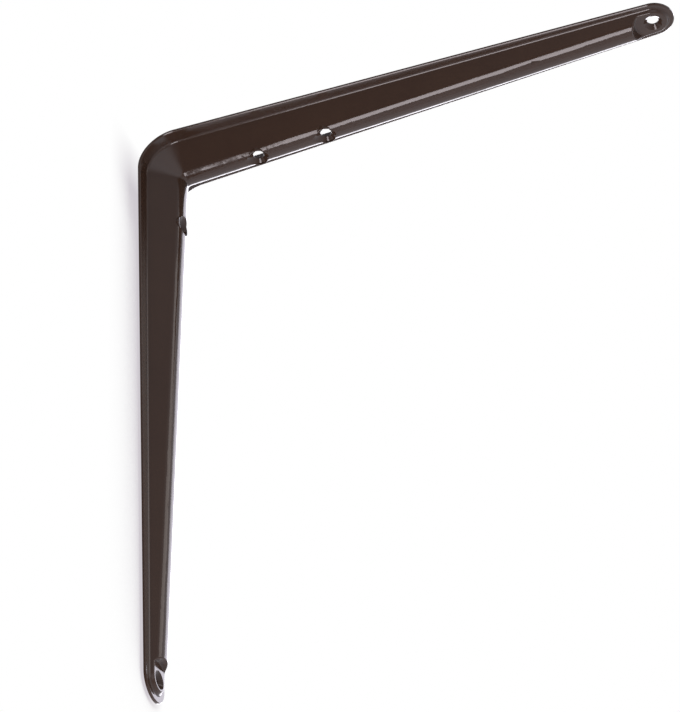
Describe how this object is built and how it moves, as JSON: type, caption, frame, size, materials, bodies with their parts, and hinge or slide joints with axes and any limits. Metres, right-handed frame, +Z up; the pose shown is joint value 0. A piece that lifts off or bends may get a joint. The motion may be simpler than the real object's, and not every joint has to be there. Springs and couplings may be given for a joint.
{
  "type": "shelf bracket",
  "caption": "L-shaped shelf bracket pressed from one painted steel sheet, with a hollow stiffening rib and countersunk screw holes.",
  "frame": {"origin": "the corner where the wall plane meets the underside of the shelf, midway across the bracket's width", "axes": "+X out from the wall along the shelf arm, +Z up through the shelf, Y across the width; the wall arm runs down along -Z"},
  "size_m": [0.25, 0.0378, 0.3],
  "materials": {
    "painted_steel": "dark brown gloss paint"
  },
  "bodies": {
    "root": {"bracket": "painted_steel"}
  },
  "joints": []
}
